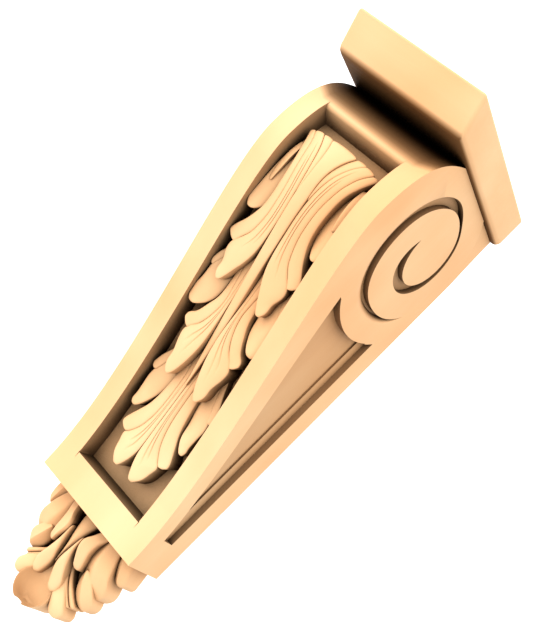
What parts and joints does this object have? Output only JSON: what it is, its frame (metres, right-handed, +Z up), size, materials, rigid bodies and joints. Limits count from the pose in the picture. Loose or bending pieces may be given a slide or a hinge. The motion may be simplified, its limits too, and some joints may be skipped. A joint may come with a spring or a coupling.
{
  "type": "carved corbel bracket",
  "caption": "Carved wooden corbel bracket: a scrolled block with an acanthus leaf in its front panel, a flat board on top and a drop leaf below its foot.",
  "frame": {"origin": "on the flat back of the block that meets the wall, in the middle of its width and halfway up the block", "axes": "+Z up, +Y into the wall, -Y out to the room, +X to the right seen from the front"},
  "size_m": [0.1092, 0.1559, 0.4222],
  "materials": {
    "body_wood": "sanded pale wood, unpainted, satin",
    "cap_wood": "sanded pale wood, unpainted, satin",
    "leaf_wood": "carved pale wood, unpainted, satin"
  },
  "bodies": {
    "root": {"body": "body_wood", "cap": "cap_wood", "panel_leaf": "leaf_wood", "drop_leaf": "leaf_wood"}
  },
  "joints": []
}
